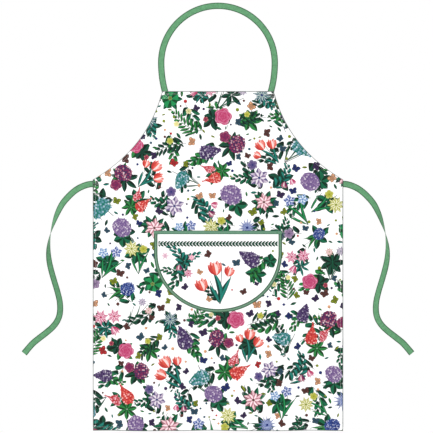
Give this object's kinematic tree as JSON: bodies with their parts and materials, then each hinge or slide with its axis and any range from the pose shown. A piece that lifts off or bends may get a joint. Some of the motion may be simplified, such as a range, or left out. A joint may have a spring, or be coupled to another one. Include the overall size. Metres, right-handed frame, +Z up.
{
  "type": "apron",
  "caption": "Cotton bib apron with an all-over botanical print, green tape neck strap, green waist ties and a green-bound D-shaped front pocket.",
  "frame": {"origin": "inside top of the neck strap, where a peg or hook holds the apron", "axes": "+Z up along the hanging apron, +X to the right of someone who looks at the printed front, -Y out of the printed front"},
  "size_m": [0.9814, 0.0166, 1.07],
  "materials": {
    "printed_cloth": "plain-weave cotton with an all-over printed botanical pattern",
    "pocket_cloth": "plain-weave cotton with a placed botanical print and a leaf band",
    "binding": "folded cotton binding, top-stitched",
    "tape": "woven herringbone cotton tape",
    "thread": "spun polyester sewing thread"
  },
  "bodies": {
    "neck_strap": {"neck_strap": "tape"},
    "bib": {"bib_panel": "printed_cloth", "bib_top_hem": "printed_cloth", "left_armhole_hem": "printed_cloth", "right_armhole_hem": "printed_cloth", "left_strap_end": "tape", "right_strap_end": "tape", "left_strap_stitching": "thread", "right_strap_stitching": "thread"},
    "skirt": {"skirt_panel": "printed_cloth", "left_side_hem": "printed_cloth", "right_side_hem": "printed_cloth", "bottom_hem": "printed_cloth", "pocket_panel": "pocket_cloth", "pocket_mouth_binding": "binding", "pocket_curve_binding": "binding", "left_pocket_tack": "thread", "right_pocket_tack": "thread", "left_tie_end": "tape", "right_tie_end": "tape", "left_tie_stitching": "thread", "right_tie_stitching": "thread"},
    "left_tie": {"left_tie": "tape"},
    "right_tie": {"right_tie": "tape"}
  },
  "joints": [
    {"name": "bib_fold", "type": "hinge", "parent": "neck_strap", "child": "bib", "pos_m": [0, -0.001, -0.206], "axis": [1, 0, 0], "range_deg": [-90, 90]},
    {"name": "waist_fold", "type": "hinge", "parent": "bib", "child": "skirt", "pos_m": [0, -0.001, -0.427], "axis": [1, 0, 0], "range_deg": [-90, 90]},
    {"name": "left_tie_swing", "type": "hinge", "parent": "skirt", "child": "left_tie", "pos_m": [-0.3125, 0, -0.438], "axis": [0, 0, 1], "range_deg": [-150, 150]},
    {"name": "right_tie_swing", "type": "hinge", "parent": "skirt", "child": "right_tie", "pos_m": [0.3125, 0, -0.438], "axis": [0, 0, 1], "range_deg": [-150, 150]}
  ]
}
